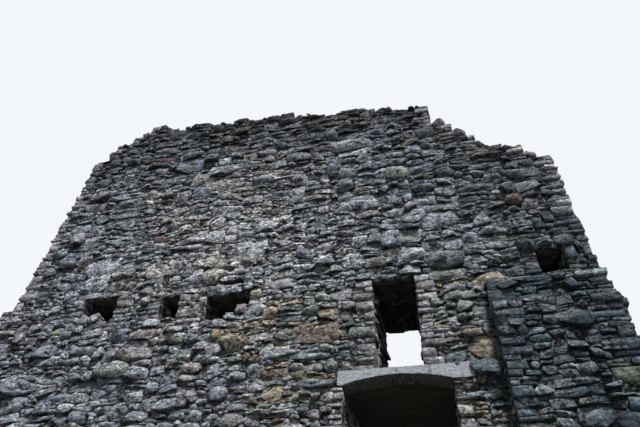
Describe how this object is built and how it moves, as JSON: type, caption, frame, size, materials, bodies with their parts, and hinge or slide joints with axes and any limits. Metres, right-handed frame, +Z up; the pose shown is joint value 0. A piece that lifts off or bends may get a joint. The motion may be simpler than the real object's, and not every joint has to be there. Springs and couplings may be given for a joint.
{
  "type": "castle keep",
  "caption": "Ruined square castle keep of rubble masonry with a raised doorway, windows, a vaulted base and broken wall heads.",
  "frame": {"origin": "on the ground under the middle of the keep's plan", "axes": "+Z up, front wall with the raised doorway towards -Y, +X to the right seen from the front"},
  "size_m": [11.8, 10.4, 12.4],
  "materials": {
    "wall_rubble": "grey field stones of many sizes laid flat in lime mortar, washed out joints",
    "weathered_rubble": "the same rubble at the broken wall heads, dark with weather and lichen",
    "pier_rubble": "dark blue-grey slate slabs with pale veins",
    "dressed_stone": "pale grey dressed stone, tooled and worn at its edges",
    "slab_stone": "dark split slabs with a green-brown film"
  },
  "bodies": {
    "root": {"front_wall_base": "wall_rubble", "front_wall_left": "wall_rubble", "front_wall_right": "wall_rubble", "front_wall_over_door_left": "wall_rubble", "front_wall_over_door_right": "wall_rubble", "front_window_piers": "wall_rubble", "front_window_lintels": "slab_stone", "front_window_fill": "wall_rubble", "front_wall_top_left": "weathered_rubble", "front_wall_top_right": "weathered_rubble", "door_sill": "dressed_stone", "door_lintel_left": "dressed_stone", "door_lintel_middle_left": "dressed_stone", "door_lintel_middle_right": "dressed_stone", "door_lintel_right": "dressed_stone", "door_roof_slabs": "slab_stone", "beam_hole_back": "wall_rubble", "left_wall_base": "wall_rubble", "left_wall_storey": "wall_rubble", "left_window_piers": "wall_rubble", "left_window_lintels": "slab_stone", "left_window_fill": "wall_rubble", "left_wall_top": "weathered_rubble", "right_wall_base": "wall_rubble", "right_wall_storey": "wall_rubble", "right_window_piers": "wall_rubble", "right_window_lintels": "slab_stone", "right_window_fill": "wall_rubble", "right_wall_top": "weathered_rubble", "back_wall_base": "wall_rubble", "back_wall_storey": "wall_rubble", "back_window_piers": "wall_rubble", "back_window_lintels": "slab_stone", "back_window_fill": "wall_rubble", "back_wall_top": "weathered_rubble", "front_corner_pier": "pier_rubble", "back_corner_pier": "pier_rubble", "left_curtain_wall": "wall_rubble", "right_curtain_wall": "pier_rubble", "vault_left_haunch": "wall_rubble", "vault_crown": "wall_rubble", "vault_right_haunch": "wall_rubble", "floor_flags": "slab_stone"}
  },
  "joints": []
}
